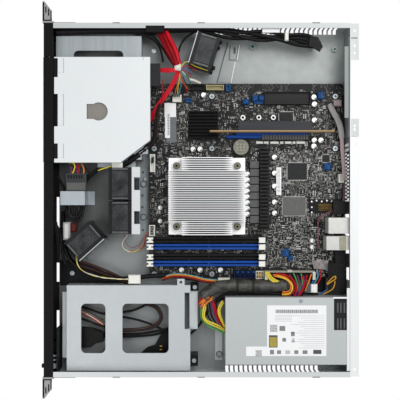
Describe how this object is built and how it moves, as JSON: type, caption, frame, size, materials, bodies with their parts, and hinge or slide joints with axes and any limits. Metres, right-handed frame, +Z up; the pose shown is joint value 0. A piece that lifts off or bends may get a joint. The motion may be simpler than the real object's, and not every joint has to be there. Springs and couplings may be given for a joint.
{
  "type": "rack server",
  "caption": "short-depth one-rack-unit server with its cover off, showing drive brackets, fans, board, riser and power supply",
  "frame": {"origin": "middle of the flat underside of the floor sheet", "axes": "+X to the right seen from the front, +Y from the front bezel to the rear panel, +Z up"},
  "size_m": [0.4826, 0.3874, 0.0435],
  "materials": {
    "black_aluminium": "anodised",
    "black_cable": "smooth sleeve",
    "black_plastic": "fine grained",
    "board_green": "solder mask over copper",
    "capacitor_metal": "drawn can",
    "chip_plastic": "moulded",
    "choke_grey": "pressed powder",
    "connector_plastic": "plain",
    "ear_paint": "fine textured paint",
    "galvanised_steel": "satin zinc coated sheet",
    "heatsink_aluminium": "bare extruded",
    "latch_plastic": "plain",
    "loom_cable": "wire bundle",
    "pale_steel": "bright zinc coated sheet",
    "port_metal": "tin plated",
    "red_cable": "smooth sleeve",
    "screw_steel": "plated",
    "slot_plastic": "plain"
  },
  "bodies": {
    "chassis": {"black_cables": "black_cable", "board_connectors": "connector_plastic", "board_fasteners": "screw_steel", "board_slot": "black_plastic", "cable_bracket": "pale_steel", "capacitors": "capacitor_metal", "chassis_floor": "galvanised_steel", "chips": "chip_plastic", "chipset_heatsink": "black_aluminium", "chokes": "choke_grey", "coin_cell": "screw_steel", "corner_fan_frame": "black_plastic", "corner_fan_stand": "galvanised_steel", "data_cables": "red_cable", "drive_bracket_left": "pale_steel", "drive_bracket_right": "pale_steel", "fan_wall_plate": "galvanised_steel", "front_bezel": "black_plastic", "front_io_board": "board_green", "heatsink_screws": "screw_steel", "main_fan_left_frame": "black_plastic", "main_fan_right_frame": "black_plastic", "memory_slots": "slot_plastic", "motherboard": "board_green", "optical_drive_case": "pale_steel", "power_inlet": "black_plastic", "power_loom": "loom_cable", "processor_heatsink": "heatsink_aluminium", "processor_socket": "connector_plastic", "rack_ear_left": "ear_paint", "rack_ear_right": "ear_paint", "rear_panel": "galvanised_steel", "rear_ports": "port_metal", "regulator_heatsink": "black_aluminium", "riser_card": "board_green", "side_fan_frame": "black_plastic", "side_fan_stand": "galvanised_steel", "side_wall_left": "galvanised_steel", "side_wall_right": "galvanised_steel", "slot_cover": "galvanised_steel", "supply_case": "galvanised_steel", "supply_fan_frame": "black_plastic", "thin_leads": "black_cable"},
    "main_fan_left_rotor": {"main_fan_left_rotor": "black_plastic"},
    "main_fan_right_rotor": {"main_fan_right_rotor": "black_plastic"},
    "corner_fan_rotor": {"corner_fan_rotor": "black_plastic"},
    "side_fan_rotor": {"side_fan_rotor": "black_plastic"},
    "supply_fan_rotor": {"supply_fan_rotor": "black_plastic"},
    "memory_latch_front_1": {"memory_latch_front_1": "latch_plastic"},
    "memory_latch_rear_1": {"memory_latch_rear_1": "latch_plastic"},
    "memory_latch_front_2": {"memory_latch_front_2": "latch_plastic"},
    "memory_latch_rear_2": {"memory_latch_rear_2": "latch_plastic"},
    "memory_latch_front_3": {"memory_latch_front_3": "latch_plastic"},
    "memory_latch_rear_3": {"memory_latch_rear_3": "latch_plastic"},
    "memory_latch_front_4": {"memory_latch_front_4": "latch_plastic"},
    "memory_latch_rear_4": {"memory_latch_rear_4": "latch_plastic"},
    "disc_tray": {"optical_drive_tray": "black_plastic", "optical_drive_face": "black_plastic"},
    "eject_button": {"eject_button": "black_plastic"},
    "power_button": {"power_button": "black_plastic"}
  },
  "joints": [
    {"name": "main_fan_left_spin", "type": "hinge", "parent": "chassis", "child": "main_fan_left_rotor", "pos_m": [-0.01995, -0.0972, 0.0213], "axis": [0, 1, 0], "continuous": true},
    {"name": "main_fan_right_spin", "type": "hinge", "parent": "chassis", "child": "main_fan_right_rotor", "pos_m": [0.02135, -0.0972, 0.0213], "axis": [0, 1, 0], "continuous": true},
    {"name": "corner_fan_spin", "type": "hinge", "parent": "chassis", "child": "corner_fan_rotor", "pos_m": [0.0495, -0.1413, 0.0213], "axis": [0.7478, 0.6639, 0], "continuous": true},
    {"name": "side_fan_spin", "type": "hinge", "parent": "chassis", "child": "side_fan_rotor", "pos_m": [-0.1822, 0.0059, 0.0213], "axis": [0.2874, 0.9578, 0], "continuous": true},
    {"name": "supply_fan_spin", "type": "hinge", "parent": "chassis", "child": "supply_fan_rotor", "pos_m": [0.1389, 0.172, 0.0218], "axis": [0, 1, 0], "continuous": true},
    {"name": "memory_latch_front_1_tilt", "type": "hinge", "parent": "chassis", "child": "memory_latch_front_1", "pos_m": [0.0495, -0.0617, 0.0136], "axis": [1, 0, 0], "range_deg": [0, 28]},
    {"name": "memory_latch_rear_1_tilt", "type": "hinge", "parent": "chassis", "child": "memory_latch_rear_1", "pos_m": [0.0495, 0.0765, 0.0136], "axis": [-1, 0, 0], "range_deg": [0, 28]},
    {"name": "memory_latch_front_2_tilt", "type": "hinge", "parent": "chassis", "child": "memory_latch_front_2", "pos_m": [0.058, -0.0617, 0.0136], "axis": [1, 0, 0], "range_deg": [0, 28]},
    {"name": "memory_latch_rear_2_tilt", "type": "hinge", "parent": "chassis", "child": "memory_latch_rear_2", "pos_m": [0.058, 0.0765, 0.0136], "axis": [-1, 0, 0], "range_deg": [0, 28]},
    {"name": "memory_latch_front_3_tilt", "type": "hinge", "parent": "chassis", "child": "memory_latch_front_3", "pos_m": [0.0703, -0.0617, 0.0136], "axis": [1, 0, 0], "range_deg": [0, 28]},
    {"name": "memory_latch_rear_3_tilt", "type": "hinge", "parent": "chassis", "child": "memory_latch_rear_3", "pos_m": [0.0703, 0.0765, 0.0136], "axis": [-1, 0, 0], "range_deg": [0, 28]},
    {"name": "memory_latch_front_4_tilt", "type": "hinge", "parent": "chassis", "child": "memory_latch_front_4", "pos_m": [0.0788, -0.0617, 0.0136], "axis": [1, 0, 0], "range_deg": [0, 28]},
    {"name": "memory_latch_rear_4_tilt", "type": "hinge", "parent": "chassis", "child": "memory_latch_rear_4", "pos_m": [0.0788, 0.0765, 0.0136], "axis": [-1, 0, 0], "range_deg": [0, 28]},
    {"name": "disc_tray_slide", "type": "slide", "parent": "chassis", "child": "disc_tray", "axis": [0, -1, 0], "range_m": [0, 0.1]},
    {"name": "eject_press", "type": "slide", "parent": "disc_tray", "child": "eject_button", "axis": [0, 1, 0], "range_m": [0, 0.001], "stiffness_N_per_m": 800},
    {"name": "power_press", "type": "slide", "parent": "chassis", "child": "power_button", "axis": [0, 1, 0], "range_m": [0, 0.0015], "stiffness_N_per_m": 800}
  ]
}
